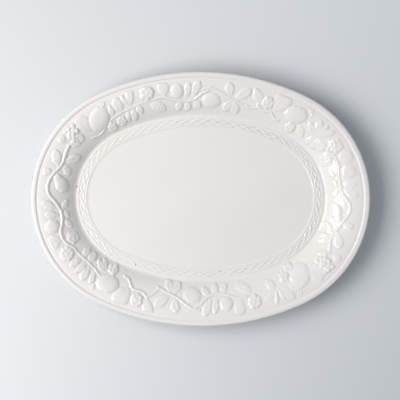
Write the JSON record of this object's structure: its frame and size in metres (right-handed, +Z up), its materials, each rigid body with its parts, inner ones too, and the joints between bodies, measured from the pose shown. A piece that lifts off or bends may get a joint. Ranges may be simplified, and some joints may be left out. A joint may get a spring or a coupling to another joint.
{
  "type": "oval serving platter",
  "caption": "Oval china serving platter with a raised lip, a sloping rim moulded with a fruit and vine garland, a plaited band, a flat well and a foot ring.",
  "frame": {"origin": "on the surface the foot rests on, under the middle of the platter", "axes": "+X along the platter's length, +Y across it, +Z up"},
  "size_m": [0.38, 0.2866, 0.0322],
  "materials": {
    "glaze": "glossy, slightly warm white glaze, a little unevenly pooled round the relief",
    "bare_foot": "glazed sides with an unglazed, lightly ground resting line"
  },
  "bodies": {
    "root": {"platter_body": "glaze", "foot_ring": "bare_foot", "lip_bead": "glaze", "verge_bead": "glaze", "plait_border_outer": "glaze", "plait_border_inner": "glaze", "plait_strand_first": "glaze", "plait_strand_second": "glaze", "small_apples": "glaze", "large_apples": "glaze", "apple_crowns": "glaze", "pears": "glaze", "raspberries": "glaze", "seed_heads": "glaze", "blossoms": "glaze", "roses": "glaze", "vine_stems": "glaze", "tendrils": "glaze", "raspberry_collars": "glaze", "broad_leaves": "glaze", "outer_leaves": "glaze", "inner_leaves": "glaze", "fan_leaves": "glaze", "round_buds": "glaze"}
  },
  "joints": []
}
